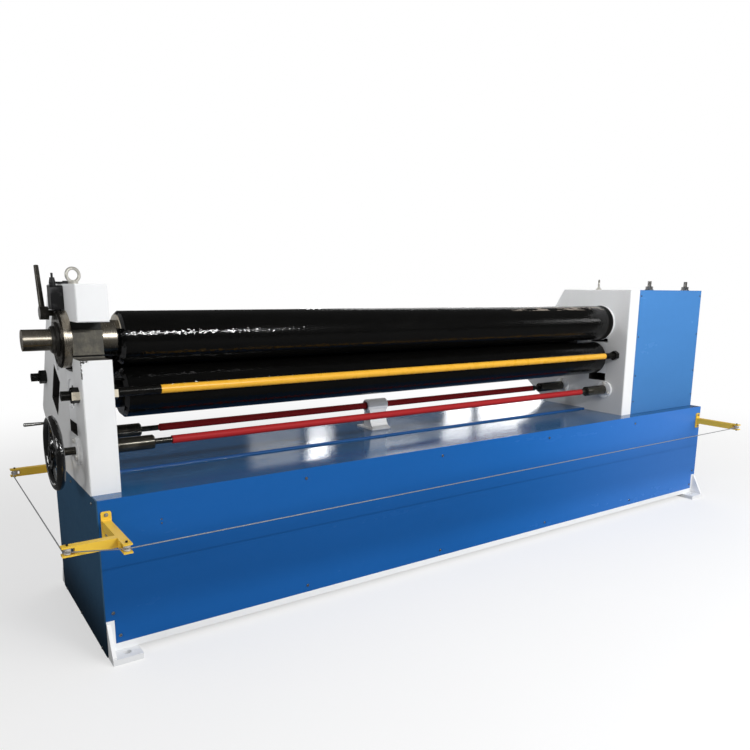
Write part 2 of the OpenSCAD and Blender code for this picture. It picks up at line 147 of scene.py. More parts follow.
class Nodes:
    """Adds nodes to a tree and links them."""

    def __init__(self, tree):
        self.tree = tree

    def add(self, kind, values=None, out=0, **settings):
        """A node of that type, its settings made first, then its inputs' values or wires.
        An input that takes several wires gets them as a list."""
        node = self.tree.nodes.new(kind)
        for name, setting in settings.items():
            setattr(node, name, setting)
        for key, value in (values or {}).items():
            for source in value if isinstance(value, list) else [value]:
                if isinstance(source, Wire):
                    self.tree.links.new(source.socket, node.inputs[key])
                else:
                    node.inputs[key].default_value = source
        return Wire(self, node.outputs[out])

    def axes(self, vector):
        """A vector's three parts."""
        part = self.add("ShaderNodeSeparateXYZ", {0: vector})
        return part, part.beside("Y"), part.beside("Z")


class Surface(Nodes):
    """The nodes of one material, with the patterns that the finishes share."""

    def __init__(self, name):
        self.material = bpy.data.materials.new(name)
        self.material.use_nodes = True
        super().__init__(self.material.node_tree)
        self.shader = self.tree.nodes["Principled BSDF"]
        self.place = self.add("ShaderNodeTexCoord", out="Object")
        self.x, self.y, self.z = self.axes(self.place)

    def facing(self, axis):
        """How far the surface faces along an axis of its object, from -1 to 1."""
        return self.axes(self.add("ShaderNodeTexCoord", out="Normal"))["XYZ".index(axis)]

    def stretched(self, scale):
        """The object's coordinates, stretched along its axes."""
        return self.add("ShaderNodeMapping", {"Vector": self.place, "Scale": scale})

    def noise(self, scale, detail=2.0, roughness=0.5, place=None):
        """A noise pattern from 0 to 1, with scale in cells for each metre."""
        values = {"Vector": place or self.place, "Scale": scale, "Detail": detail, "Roughness": roughness}
        return self.add("ShaderNodeTexNoise", values)

    def blend(self, factor, first, second):
        """A mix of two colours."""
        pair = [(*c, 1.0) if isinstance(c, tuple) else c for c in (first, second)]
        return self.add("ShaderNodeMix", {0: factor, 6: pair[0], 7: pair[1]}, out=2, data_type="RGBA")

    def shade(self, colour, factor):
        """A colour made lighter or darker by a factor that varies."""
        grey = self.add("ShaderNodeCombineXYZ", {0: factor, 1: factor, 2: factor})
        colour = colour if isinstance(colour, Wire) else tuple(colour)[:3]
        return self.add("ShaderNodeVectorMath", {0: colour, 1: grey}, operation="MULTIPLY")

    def bump(self, height, distance):
        """A bump whose height of 1 stands for that distance in metres."""
        return self.add("ShaderNodeBump", {"Height": height, "Distance": distance, "Strength": 1.0})

    def finish(self, colour, roughness, metallic=0.0, normal=None, coat=0.0, specular=0.5):
        """Sets the shader and returns the material."""
        parts = {"Base Color": colour, "Roughness": roughness, "Metallic": metallic, "Normal": normal,
                 "Coat Weight": coat, "Coat Roughness": 0.03, "Specular IOR Level": specular}
        for name, value in parts.items():
            if isinstance(value, Wire):
                self.tree.links.new(value.socket, self.shader.inputs[name])
            elif value is not None:
                self.shader.inputs[name].default_value = value
        return self.material


# ---- settings ----

def a_colour(name, description, default):
    """A colour setting."""
    return FloatVectorProperty(name=name, description=description, default=default, subtype="COLOR",
                               min=0, max=1)


def a_length(name, description, default):
    """A length setting, in metres."""
    return FloatProperty(name=name, description=description, default=default, unit="LENGTH")


def a_power(name, description, default):
    """A lamp's power setting, in watts."""
    return FloatProperty(name=name, description=description, default=default, unit="POWER")


def a_brightness(name, description, default):
    """A brightness setting, without a unit."""
    return FloatProperty(name=name, description=description, default=default, min=0)


class BenderPaints(bpy.types.PropertyGroup):
    """Colours of the machine's paints."""

    blue: a_colour("Blue", "Sheet-metal covers of the bed", (0.012, 0.123, 0.425))
    # Housing blue and housing sheet are the bed's blue made paler: painted light.
    housing: a_colour("Housing blue", "Gear housing, paler than the bed", (0.064, 0.210, 0.490))
    housing_sheet: a_colour("Housing sheet", "Front sheet of the gear housing", (0.062, 0.212, 0.505))
    # Slate is the bed's blue darkened: painted shade on the deck under the rolls and on the left end panel,
    # which faces away from the lamps.
    shaded_slate: a_colour("Slate", "Oily deck and the bed's left end panel", (0.015, 0.100, 0.255))
    ochre: a_colour("Ochre", "Rope brackets", (0.90, 0.58, 0.055))
    white: a_colour("Light grey", "Frames, bearing blocks, feet and rails", (0.86, 0.87, 0.88))
    flange: a_colour("Flange white", "Flanges and the middle bearing", (0.93, 0.935, 0.94))
    yellow: a_colour("Yellow", "Tie rods", (0.80, 0.42, 0.035))
    red: a_colour("Red", "Adjusting shafts", (0.36, 0.018, 0.020))
    black: a_colour("Black", "Varnish on the rolls and enamel on the handwheel", (0.0016, 0.0016, 0.0015))


class BenderHardware(bpy.types.PropertyGroup):
    """Sizes of the small fasteners, threads, weld beads and the stop rope."""

    screw_d: a_length("Cover screw head", "Head diameter of the screws in the covers", 9 * MM)
    flange_bolt_d: a_length("Flange bolt head", "Head diameter of the flange bolts", 16 * MM)
    fixing_bolt_d: a_length("Fixing bolt head", "Head diameter of the brackets' and middle bearing's bolts",
                            11 * MM)
    thread_pitch: a_length("Thread pitch", "Pitch of the tie rods' threads", 3 * MM)
    rope_d: a_length("Rope", "Diameter of the stop rope", 4 * MM)
    rope_lay: a_length("Lay of the rope", "Length of one turn of a strand", 26 * MM)
    strands: IntProperty(name="Strands", description="Strands of the stop rope", default=6, min=3, max=8)
    weld_w: a_length("Weld bead", "Width of the weld beads", 4.5 * MM)


class BenderStudio(bpy.types.PropertyGroup):
    """Light and floor."""

    floor: a_length("Floor", "Length of the floor's sides", 60.0)
    level: a_brightness("Room light", "Strength of the even light", 0.33)
    ceiling: a_brightness("Ceiling", "How bright the ceiling looks in a reflection", 0.07)
    key: a_power("Key light", "Power of the large lamp", 152.0)
    strip: a_power("Strip light", "Power of the narrow lamp that the rolls reflect", 64.0)
    side: a_power("Side light", "Power of the lamp beyond the gear housing", 20.0)
    sky: a_power("Skylight", "Power of the large lamp behind the machine", 48.0)
    drop_end: a_power("Drop-end light", "Power of the narrow lamp on the drop end", 2.6)
    panel: a_power("Drop-end panel", "Power of the panel that the bare shaft reflects", 7.0)
    frame: a_power("Frame light", "Power of the narrow lamp on the right frame's inner face", 0.8)
    window: a_brightness("Window", "Brightness of the panes that the deck reflects", 3.5)


# ---- finishes ----

GREASE = (0.022, 0.020, 0.018)
BLOCK_SHADOW_BLACK = (0.012, 0.011, 0.010)
SHADOW_BLACK = (0.010, 0.010, 0.010)
RING_FACE_BLACK = (0.032, 0.032, 0.031)
FRAME_GRIME_AND_SHADE = (0.36, 0.345, 0.315)
PALE_SHEEN = (0.80, 0.78, 0.66)
OIL_HAZE = (0.13, 0.24, 0.40)
WORN_VARNISH_AND_SHEEN = (0.36, 0.31, 0.26)
TURNED_STEEL = (0.60, 0.55, 0.46)
BROWNED_STEEL = (0.48, 0.42, 0.32)
NUT_FLAT_GLINT = (0.88, 0.80, 0.64)
BLACKENED = (0.020, 0.020, 0.020)
DARK_IRON = (0.060, 0.056, 0.048)


def tinted(colour, factors):
    """A colour with each channel multiplied by its own factor."""
    return tuple(channel * factor for channel, factor in zip(colour, factors))


def sheet_paint(name, colour, roughness=0.24, peel=1.0, specular=0.15, along=None, up=None, band=0.0,
                rim=None, inner=False):
    """Gloss paint on rolled sheet: orange peel, a slow wave in the sheet, and faint wiping marks.
    along is painted light: how bright it is at the left and right ends, with a pale painted sheen growing
    towards the right. up is painted light and shade: how bright it is at its foot and at the height that
    follows.
    band is how much darker it is halfway up. rim is a bluer colour on the raised deck's front edge, a painted
    reflection.
    inner is painted shade: it leaves the side towards the rolls black where the frame's windows show it."""
    s = Surface(name)
    wiped = s.noise(3.0, 5.0, 0.6, s.stretched((0.35, 1.0, 2.2)))
    grime = s.noise(26.0, 3.0)
    tone = 0.90 + 0.14 * wiped + 0.05 * grime
    if along:
        # Painted light: lighter towards the right end, with a pale painted sheen there.
        left, right = along
        tone = tone * (left + (right - left) * s.x.rise(from_left(1200), BED_RIGHT))
        colour = s.blend(0.035 * s.x.rise(0.0, BED_RIGHT), tuple(colour), PALE_SHEEN)
    if up:
        # Painted light and shade: brightness that changes from the foot up to top_z.
        foot, top, top_z = up
        tone = tone * (foot + (top - foot) * s.z.rise(0.0, top_z))
    if band:
        tone = tone * (1 - band * s.z.within(0.20, 0.31, 0.13))
    wave = s.noise(1.6, 1.0, 0.4, s.stretched((1.0, 1.0, 1.6)))
    orange_peel = s.noise(330.0, 1.0)
    height = wave + 0.0045 * peel * orange_peel
    gloss = roughness + 0.10 * (grime - 0.5) + 0.10 * wiped.rise(0.55, 0.8)
    painted = s.shade(colour, tone)
    if rim:
        haze = s.noise(7.0, 5.0, 0.65, s.stretched((0.5, 1.0, 1.0))).rise(0.50, 0.78)
        painted = s.blend(haze * 0.22, painted, OIL_HAZE)
        # Painted reflection: the raised deck's front edge in a bluer colour.
        at_rim = (s.y < low("raised_deck").y + 9 * MM) * (s.z > DECK_Z + 1 * MM)
        painted, gloss = s.blend(at_rim, painted, tuple(rim)), gloss + 0.5 * at_rim
    if inner:
        # Painted shade: black where the frame's windows show the side towards the rolls.
        behind_windows = (s.y < from_front(500)) * (s.z < 1.02)
        painted = s.blend((s.facing("X") < -0.7) * behind_windows, painted, SHADOW_BLACK)
    return s.finish(painted, gloss, normal=s.bump(height, 6 * MM), specular=specular)


def plate_coat(s, colour):
    """The colour, gloss and relief of brushed paint on thick plate, for the surface s."""
    streak = s.noise(14.0, 4.0, 0.6, s.stretched((1.0, 1.0, 0.35)))
    smudge = s.noise(5.5, 3.0, 0.55)
    height = s.noise(60.0, 3.0) * 0.5 + s.noise(420.0, 1.0) * 0.18
    return s.shade(colour, 0.93 + 0.07 * streak + 0.04 * smudge), 0.30 + 0.14 * smudge, height


def plate_paint(name, colour):
    """Brushed gloss paint on thick plate."""
    s = Surface(name)
    painted, gloss, height = plate_coat(s, colour)
    return s.finish(painted, gloss, normal=s.bump(height, 0.35 * MM), coat=0.1)


def ring_paint(name, colour):
    """Plate paint on the ring round the upper roll, whose face towards the barrel is painted near black."""
    s = Surface(name)
    painted, gloss, height = plate_coat(s, colour)
    blackened_face = s.blend(s.facing("X") < -0.7, painted, RING_FACE_BLACK)
    return s.finish(blackened_face, gloss, normal=s.bump(height, 0.25 * MM))


def frame_paint(name, colour):
    """Plate paint on the end frames. The inner walls of their openings are painted near black, the faces
    towards the drop end are darker towards the foot with painted shade and some grime, and the paint is
    chipped at the slot's lower corner."""
    s = Surface(name)
    painted, gloss, height = plate_coat(s, colour)
    across = s.facing("X")
    lowest, highest = low("left_frame"), high("left_frame")
    depth, rise, reach = s.y - lowest.y, s.z - lowest.z, s.x - lowest.x

    # Everything further in than the plate's own edges, the slanted back ones among them.
    margin = 5 * MM
    inside = (depth > margin) * (rise > margin) * (s.z < highest.z - margin)
    inside = inside * (depth - rise * 1.385 < 505 * MM) * (depth + rise * 0.67 < 865 * MM)
    # The inner walls of the windows, slots and bores are painted near black, in the chips' colour.
    opening_walls = inside * (abs(across) < 0.5)

    # Painted shade: faces towards the drop end darken towards the foot, wholly on the right frame's inner
    # face and with mottled grime on the left frame's outer face.
    mottle = s.noise(9.0, 4.0, 0.6)
    outer_face = (reach < 20 * MM) * (0.12 + 0.20 * mottle)
    inner_face = (s.x > 0.0) * 0.30
    grime = (across < -0.7) * (1 - s.z.rise(0.62, 1.17)) * (outer_face + inner_face)
    painted = s.blend(grime, painted, FRAME_GRIME_AND_SHADE)

    drop = s.z - low("drop_end_block").z
    near_top = drop.within(-7 * MM, 1 * MM, 5 * MM) * (1 - reach.rise(12 * MM, 60 * MM))
    near_side = reach.within(-1.0, 3 * MM, 3 * MM) * drop.within(-55 * MM, 1 * MM, 25 * MM)
    edge = near_top.either(near_side) * (depth < 3 * MM)
    chips = (s.noise(150.0, 4.0, 0.7) * edge) > 0.47

    bare = chips.either(opening_walls)
    colour = s.blend(bare, painted, GREASE)
    return s.finish(colour, gloss + 0.12 * bare, normal=s.bump(height - chips * 0.6, 0.35 * MM), coat=0.1)


def shop_steel(name, colour, roughness=0.32, along=(1.0, 1.0, 1.0), scratch=160.0, face=1.0, under=1.0):
    """Turned or milled steel under a film of oil: tool marks one way, and brown stains.
    face and under are painted shade: how bright the faces towards the drop end and the undersides stay."""
    s = Surface(name)
    marks = s.noise(scratch, 3.0, 0.65, s.stretched(along))
    stained = s.noise(22.0, 4.0, 0.6).rise(0.42, 0.72) * 0.5
    # Painted shade: faces towards the drop end and undersides are darkened by face and under.
    facing_left = s.facing("X") < -0.6
    painted_underside_shade = under + (1 - under) * s.facing("Z").rise(-0.5, 0.1)
    tone = (0.82 + 0.3 * marks) * (1 - (1 - face) * facing_left) * painted_underside_shade
    base = s.shade(s.blend(stained, tuple(colour), tinted(colour, (0.55, 0.47, 0.36))), tone)
    gloss = roughness + 0.22 * (marks - 0.5) + 0.12 * stained
    return s.finish(base, gloss, metallic=1.0, normal=s.bump(marks, 0.04 * MM))


def milled_block(name, colour):
    """Milled steel, mottled with oil and dust. The band at its top, under the keeper, and the gap near its
    foot are painted black: painted shadow."""
    s = Surface(name)
    marks = s.noise(420.0, 3.0, 0.65, s.stretched((1.0, 1.0, 0.1)))
    dusty = s.noise(38.0, 5.0, 0.7).rise(0.35, 0.75)
    top, foot = high("drop_end_block").z, low("drop_end_block").z
    # Painted shadow: the gap near the foot and the band at the top, under the keeper.
    gap = s.z.within(foot + 4 * MM, foot + 9 * MM, 0.5 * MM)
    painted_shadow = s.z.rise(top - 28 * MM, top - 26 * MM).either(gap)
    milled = s.blend(dusty, tuple(colour), tinted(colour, (1.7, 1.65, 1.5)))
    base = s.shade(s.blend(painted_shadow, milled, BLOCK_SHADOW_BLACK), 0.7 + 0.6 * marks)
    return s.finish(base, 0.42 + 0.2 * (marks - 0.5), metallic=0.85 * (1 - painted_shadow),
                    normal=s.bump(marks, 0.12 * MM))


def oiled_iron(name, colour=(0.055, 0.052, 0.047), roughness=0.34):
    """Dark phosphated steel, wiped with oil and worn lighter in places."""
    s = Surface(name)
    grain = s.noise(240.0, 3.0, 0.6)
    wear = s.noise(34.0, 4.0, 0.65).rise(0.52, 0.74)
    base = s.blend(wear * 0.6, tuple(colour), tinted(colour, (3.6, 3.6, 3.6)))
    return s.finish(base, roughness + 0.2 * (grain - 0.5), metallic=0.75, normal=s.bump(grain, 0.15 * MM))


def roll_varnish(name, black, specular, bare_neck=False):
    """Black varnish, brushed on thick over the barrels. It wrinkles, so highlights break into specks.
    The roll with a bare neck is turned steel up to the barrel, whose end face is bare only near its top. Its
    bare steel is darker underneath and on top as painted shade, and a pale band near the barrel's top at the
    right is partly scuffed varnish and partly a painted highlight."""
    s = Surface(name)
    runs = s.noise(34.0, 1.0, 0.5, s.stretched((0.45, 1.6, 1.6)))
    wrinkle = s.noise(125.0, 0.5, 0.5, s.stretched((0.85, 1.1, 1.1)))
    dull = s.noise(4.0, 2.0).rise(0.45, 0.75)
    varnish = s.shade(tuple(black), 0.7 + 1.1 * runs)
    height = 0.78 * wrinkle + 0.35 * runs
    gloss = 0.045 + 0.08 * dull + 0.09 * s.x.rise(BARREL_LEFT + 0.4, BARREL_LEFT + 0.7)
    if not bare_neck:
        return s.finish(varnish, gloss, normal=s.bump(height, 1.2 * MM), specular=specular)

    edge = BARREL_LEFT + (s.noise(60.0, 2.0) - 0.5) * (3 * MM)
    upper = s.z > middle("upper_roll").z + 34 * MM + (s.noise(90.0, 2.0) - 0.5) * (14 * MM)
    bare = (s.x < edge - 8 * MM).either(upper * (s.x < edge + 2.5 * MM))
    marks = s.noise(900.0, 2.0, 0.6, s.stretched((1.0, 0.06, 0.06)))
    browned = s.noise(30.0, 4.0).rise(0.4, 0.7)
    upward = s.facing("Z")
    steel = s.shade(s.blend(browned, TURNED_STEEL, BROWNED_STEEL), 0.97 + 0.06 * marks)
    # Painted shade: the bare steel darker underneath and a little darker on top.
    steel = s.shade(steel, (0.25 + 0.75 * upward.rise(-0.6, 0.3)) * (1 - 0.5 * upward.rise(0.8, 1.0)))

    # A pale band at the top front near the right end: partly scuffs, partly a painted highlight.
    flakes = s.noise(70.0, 3.0, 0.6, s.stretched((0.22, 1.0, 1.0))).rise(0.49, 0.56)
    scuffs_and_sheen = upward.within(0.82, 0.94, 0.04) * (s.facing("Y") < 0.0) * flakes * (1 - bare)
    scuffs_and_sheen = scuffs_and_sheen * s.x.within(BARREL_RIGHT - 0.60, BARREL_RIGHT - 0.08, 0.12)
    varnish = s.blend(scuffs_and_sheen * 0.75, varnish, WORN_VARNISH_AND_SHEEN)

    gloss = bare * (0.26 + 0.02 * marks) + (1 - bare) * gloss + scuffs_and_sheen * 0.3
    height = (1 - bare) * height + bare * marks * 0.006
    return s.finish(s.blend(bare, varnish, steel), gloss, metallic=bare, normal=s.bump(height, 1.2 * MM),
                    specular=specular)


def banded_rod(name, colour, paint_span, nuts=(), dull=0.0, ends=(0.014, 0.014, 0.013)):
    """A painted rod whose ends are left as blackened steel. The nuts' front flats are painted pale: a painted
    reflection.
    """
    s = Surface(name)
    painted = s.x.within(*paint_span, 1 * MM)
    cloud = s.noise(30.0, 4.0, 0.6)
    paint = s.shade(tuple(colour), 0.93 + 0.12 * cloud)
    dark = s.shade(tuple(ends), 0.6 + 0.9 * cloud)
    base = s.blend(painted, dark, paint)
    facing_front = s.facing("Y") < -0.6
    rubbed = 0.0
    for nut in nuts:
        # Painted reflection: the nuts' flats facing the front are pale and less metallic.
        glinting_flat = s.x.within(*nut, 0.2 * MM) * facing_front
        base = s.blend(glinting_flat, base, s.shade(NUT_FLAT_GLINT, 0.8 + 0.35 * cloud))
        rubbed = glinting_flat + rubbed
    brushed = s.noise(300.0, 2.0, 0.5, s.stretched((0.1, 1.0, 1.0)))
    gloss = 0.22 + dull * painted + 0.12 * cloud
    return s.finish(base, gloss, metallic=(1 - painted) * (0.8 - 0.6 * rubbed),
                    normal=s.bump(brushed, 0.05 * MM), specular=0.35 - dull)


def enamel(name, colour):
    """Thick black enamel on a casting."""
    s = Surface(name)
    cast = s.noise(130.0, 1.0, 0.55)
    rubbed = s.noise(18.0, 3.0).rise(0.5, 0.8)
    return s.finish(s.shade(tuple(colour), 0.8 + 1.2 * rubbed), 0.16 + 0.12 * rubbed,
                    normal=s.bump(cast, 1.8 * MM), coat=0.9, specular=0.9)


def plated(name, colour=(0.72, 0.72, 0.70), roughness=0.14, metallic=1.0):
    """Bright plating with fine polishing lines."""
    s = Surface(name)
    lines = s.noise(700.0, 2.0, 0.5, s.stretched((1.0, 0.2, 0.2)))
    smear = s.noise(40.0, 3.0)
    return s.finish(s.shade(tuple(colour), 0.82 + 0.2 * smear), roughness + 0.10 * lines, metallic=metallic,
                    normal=s.bump(lines, 0.03 * MM))


def roller_plastic(name):
    """Pale plastic rollers on blackened bolts."""
    s = Surface(name)
    from_middle = abs(s.z - middle("rope_rollers").z)
    bolt = from_middle > 9.3 * MM
    wear = s.noise(120.0, 3.0)
    groove = 1 - from_middle.rise(1.5 * MM, 3.5 * MM)
    pale = s.shade((0.60, 0.59, 0.57), 0.75 + 0.35 * wear - 0.18 * groove)
    base = s.blend(bolt, pale, BLACKENED)
    return s.finish(base, 0.42 - 0.12 * bolt, metallic=bolt * 0.6, normal=s.bump(wear, 0.1 * MM))


def strand_steel(name):
    """Galvanized wire rope, dull, with dirt between its strands."""
    s = Surface(name)
    grain = s.noise(900.0, 2.0)
    return s.finish(s.shade((0.33, 0.335, 0.345), 0.7 + 0.45 * grain), 0.4, metallic=0.3,
                    normal=s.bump(grain, 0.1 * MM))


def coat(material, *nodes):
    """Gives CAD nodes a material."""
    for name in nodes:
        piece = frame["nodes"][name]
        if not piece.material_slots:
            piece.data.materials.append(material)
        for place in piece.material_slots:
            place.material = material


# ---- meshes ----

def piece_of(name, mesh, material, body):
    """A finished piece that rides on a body. Without a material it keeps the one its tree has set."""
    piece = bpy.data.objects.new(name, mesh)
    bpy.context.scene.collection.objects.link(piece)
    if material:
        mesh.materials.clear()
        mesh.materials.append(material)
    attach(piece, body)
    return piece


SOCKETS = {float: "NodeSocketFloat", int: "NodeSocketInt", tuple: "NodeSocketVector"}


def geometry_tree(name, inputs):
    """A Geometry Nodes tree, its inputs given by their defaults. Returns its Nodes and its inputs' wires."""
    tree = bpy.data.node_groups.new(name, "GeometryNodeTree")
    tree.interface.new_socket("Geometry", in_out="INPUT", socket_type="NodeSocketGeometry")
    for label, default in inputs.items():
        kind = SOCKETS[type(default)]
        socket = tree.interface.new_socket(label, in_out="INPUT", socket_type=kind)
        socket.default_value = default
    tree.interface.new_socket("Geometry", in_out="OUTPUT", socket_type="NodeSocketGeometry")
    nodes = Nodes(tree)
    entry = tree.nodes.new("NodeGroupInput")
    wires = {socket.name: Wire(nodes, socket) for socket in entry.outputs if socket.name}
    return nodes, wires


def close_tree(nodes, geometry, material):
    """Ends a tree in Realize Instances and Set Material, and returns it."""
    solid = nodes.add("GeometryNodeRealizeInstances", {0: geometry})
    dressed = nodes.add("GeometryNodeSetMaterial", {"Geometry": solid, "Material": material})
    outlet = nodes.tree.nodes.new("NodeGroupOutput")
    nodes.tree.links.new(dressed.socket, outlet.inputs[0])
    return nodes.tree


def grown_mesh(name, start, tree, values):
    """The plain mesh that a Geometry Nodes tree makes from a starting mesh."""
    grower = bpy.data.objects.new(name + "_start", start)
    bpy.context.scene.collection.objects.link(grower)
    modifier = grower.modifiers.new("Grow", "NODES")
    modifier.node_group = tree
    for item in tree.interface.items_tree:
        if item.item_type == "SOCKET" and item.in_out == "INPUT" and item.name in values:
            modifier[item.identifier] = values[item.name]
    bpy.context.view_layer.update()
    graph = bpy.context.evaluated_depsgraph_get()
    mesh = bpy.data.meshes.new_from_object(grower.evaluated_get(graph), depsgraph=graph)
    mesh.name = name
    grower.modifiers.remove(modifier)
    bpy.data.objects.remove(grower)
    return mesh


def seats_mesh(name, seats):
    """Loose points, each with the direction that its fastener faces and its size."""
    mesh = bpy.data.meshes.new(name)
    mesh.from_pydata([tuple(place) for place, _, _ in seats], [], [])
    facing = mesh.attributes.new("facing", "FLOAT_VECTOR", "POINT")
    for value, (_, direction, _) in zip(facing.data, seats):
        value.vector = direction
    # Each attribute is filled before the next is made, because making one can move the others.
    size = mesh.attributes.new("size", "FLOAT", "POINT")
    for value, (_, _, scale) in zip(size.data, seats):
        value.value = scale
    return mesh


def path_mesh(name, routes):
    """Open polylines as one mesh of edges."""
    mesh = bpy.data.meshes.new(name)
    points, edges = [], []
    for route in routes:
        first = len(points)
        points += [tuple(p) for p in route]
        edges += [(i, i + 1) for i in range(first, len(points) - 1)]
    mesh.from_pydata(points, edges, [])
    return mesh


def fastener_tree(name, sides, material):
    """Heads with a washer under them, set on points. Many sides give a round head, and six a hexagon."""
    inputs = {"Head radius": 4.5 * MM, "Head height": 2 * MM, "Dome height": 1.2 * MM,
              "Washer radius": 6 * MM, "Washer height": 0.8 * MM}
    nodes, wires = geometry_tree(name, inputs)
    radius, height = wires["Head radius"], wires["Head height"]
    washer_height = wires["Washer height"]

    def raised(shape, distance):
        offset = nodes.add("ShaderNodeCombineXYZ", {2: distance})
        return nodes.add("GeometryNodeTransform", {"Geometry": shape, "Translation": offset})

    washer = nodes.add("GeometryNodeMeshCylinder",
                       {"Vertices": 20, "Radius": wires["Washer radius"], "Depth": washer_height})
    head = nodes.add("GeometryNodeMeshCylinder", {"Vertices": sides, "Radius": radius, "Depth": height})
    crown = nodes.add("GeometryNodeMeshCone",
                      {"Vertices": sides, "Radius Top": radius * 0.72, "Radius Bottom": radius,
                              "Depth": wires["Dome height"]})
    stack = [raised(washer, washer_height * 0.5), raised(head, washer_height + height * 0.5),
             raised(crown, washer_height + height)]
    joined = nodes.add("GeometryNodeJoinGeometry", {0: stack})
    facing = nodes.add("GeometryNodeInputNamedAttribute", {"Name": "facing"}, data_type="FLOAT_VECTOR")
    size = nodes.add("GeometryNodeInputNamedAttribute", {"Name": "size"}, data_type="FLOAT")
    turn = nodes.add("FunctionNodeAlignRotationToVector", {"Vector": facing}, axis="Z")
    spread = nodes.add("GeometryNodeInstanceOnPoints",
                       {"Points": wires["Geometry"], "Instance": joined, "Rotation": turn, "Scale": size})
    return close_tree(nodes, spread, material)


def thread_tree(material):
    """A helical ridge round a rod that runs along X."""
    nodes, wires = geometry_tree("Thread", {"Radius": 15 * MM, "Length": 100 * MM, "Pitch": 3 * MM,
                                            "Start": (0.0, 0.0, 0.0)})
    turns = wires["Length"] / wires["Pitch"]
    helix = nodes.add("GeometryNodeCurveSpiral",
                      {"Resolution": 28, "Rotations": turns, "Start Radius": wires["Radius"],
                              "End Radius": wires["Radius"], "Height": wires["Length"]})
    ridge = nodes.add("GeometryNodeCurvePrimitiveCircle",
                      {"Resolution": 4, "Radius": wires["Pitch"] * 0.32})
    swept = nodes.add("GeometryNodeCurveToMesh",
                      {"Curve": helix, "Profile Curve": ridge, "Fill Caps": True})
    laid = nodes.add("GeometryNodeTransform",
                     {"Geometry": swept, "Translation": wires["Start"],
                             "Rotation": (0.0, math.pi / 2, 0.0)})
    return close_tree(nodes, laid, material)


def rope_tree(material):
    """Strands laid into a rope along a path."""
    nodes, wires = geometry_tree("Rope", {"Radius": 2 * MM, "Lay": 26 * MM, "Strands": 6, "Step": 2 * MM})
    path = nodes.add("GeometryNodeMeshToCurve", {0: wires["Geometry"]})
    even = nodes.add("GeometryNodeResampleCurve", {"Curve": path, "Length": wires["Step"]}, mode="LENGTH")
    index = nodes.add("GeometryNodeInputIndex")
    twist = index * wires["Step"] / wires["Lay"] * (2 * math.pi)
    laid = nodes.add("GeometryNodeSetCurveTilt", {"Curve": even, "Tilt": twist})
    profile = nodes.add("GeometryNodeCurveStar",
                        {"Points": wires["Strands"], "Inner Radius": wires["Radius"] * 0.78,
                                "Outer Radius": wires["Radius"]})
    swept = nodes.add("GeometryNodeCurveToMesh",
                      {"Curve": laid, "Profile Curve": profile, "Fill Caps": True})
    return close_tree(nodes, swept, material)


def bead_tree(material):
    """A weld bead: overlapping ripples along a path, a little uneven."""
    nodes, wires = geometry_tree("Weld bead", {"Width": 6 * MM, "Step": 2.2 * MM, "Seed": 3})
    path = nodes.add("GeometryNodeMeshToCurve", {0: wires["Geometry"]})
    points = nodes.add("GeometryNodeCurveToPoints", {"Curve": path, "Length": wires["Step"]},
                       out="Points", mode="LENGTH")
    ball = nodes.add("GeometryNodeMeshUVSphere",
                     {"Segments": 10, "Rings": 6, "Radius": wires["Width"] * 0.5})
    size = nodes.add("FunctionNodeRandomValue", {2: 0.82, 3: 1.08, "Seed": wires["Seed"]},
                     out=1, data_type="FLOAT")
    ripples = nodes.add("GeometryNodeInstanceOnPoints",
                        {"Points": points, "Instance": ball, "Rotation": points.beside("Rotation"),
                                "Scale": size})
    return close_tree(nodes, ripples, material)


def fasteners(name, seats, tree, body, slot, **sizes):
    """Fasteners of one kind on one body."""
    values = {label.replace("_", " ").capitalize(): value for label, value in sizes.items()}
    mesh = grown_mesh(name, seats_mesh(name + "_seats", seats), tree, values)
    return piece_of(name, mesh, None, body)


def sheet_box(name, lowest, highest, material, body):
    """A thin folded sheet: a block with soft edges."""
    mesh = bpy.data.meshes.new(name)
    form = bmesh.new()
    bmesh.ops.create_cube(form, size=1.0)
    size = Vector(highest) - Vector(lowest)
    centre = (Vector(highest) + Vector(lowest)) / 2
    placed = Matrix.Translation(centre) @ Matrix.Diagonal((*size, 1.0))
    bmesh.ops.transform(form, matrix=placed, verts=form.verts)
    bmesh.ops.bevel(form, geom=form.edges[:], offset=0.8 * MM, segments=2, profile=0.5, affect="EDGES")
    form.to_mesh(mesh)
    form.free()
    return piece_of(name, mesh, material, body)


# ---- operators ----

class Maker(bpy.types.Operator):
    """Common to the operators below: each makes its pieces and reports that it is done."""

    bl_options = {"REGISTER", "UNDO"}

    def execute(self, context):
        scene = context.scene
        self.make(scene.bender_paints, scene.bender_hardware, scene.bender_studio)
        return {"FINISHED"}


class BENDER_OT_bed(Maker):
    """Paint the bed's covers, deck, rails and feet"""

    bl_idname = "bender.bed"
    bl_label = "Bed"

    def make(self, paints, hardware, studio):
        # The covers are painted lighter towards the right end: painted light.
        coat(sheet_paint("cover_blue", paints.blue, along=(0.76, 1.22), up=(1.04, 1.08, DECK_Z), band=0.20),
             "front_panel", "rear_panel", "end_panel_right")
        # The left end panel is painted darker still, and darker towards the floor: painted shade.
        coat(sheet_paint("end_slate", tinted(paints.shaded_slate, (1.75, 0.70, 0.50)), roughness=0.42,
                         up=(0.25, 1.15, 0.27), specular=0.04), "end_panel_left")
        coat(sheet_paint("deck_slate", paints.shaded_slate, roughness=0.11, peel=4.0, specular=0.5,
                         rim=tinted(paints.blue, (0.62, 0.62, 0.62))), "deck", "raised_deck")
        coat(plate_paint("rail_grey", paints.white), "long_rails", "cross_rails", "foot_front_left",
             "foot_front_right", "foot_rear_left", "foot_rear_right")


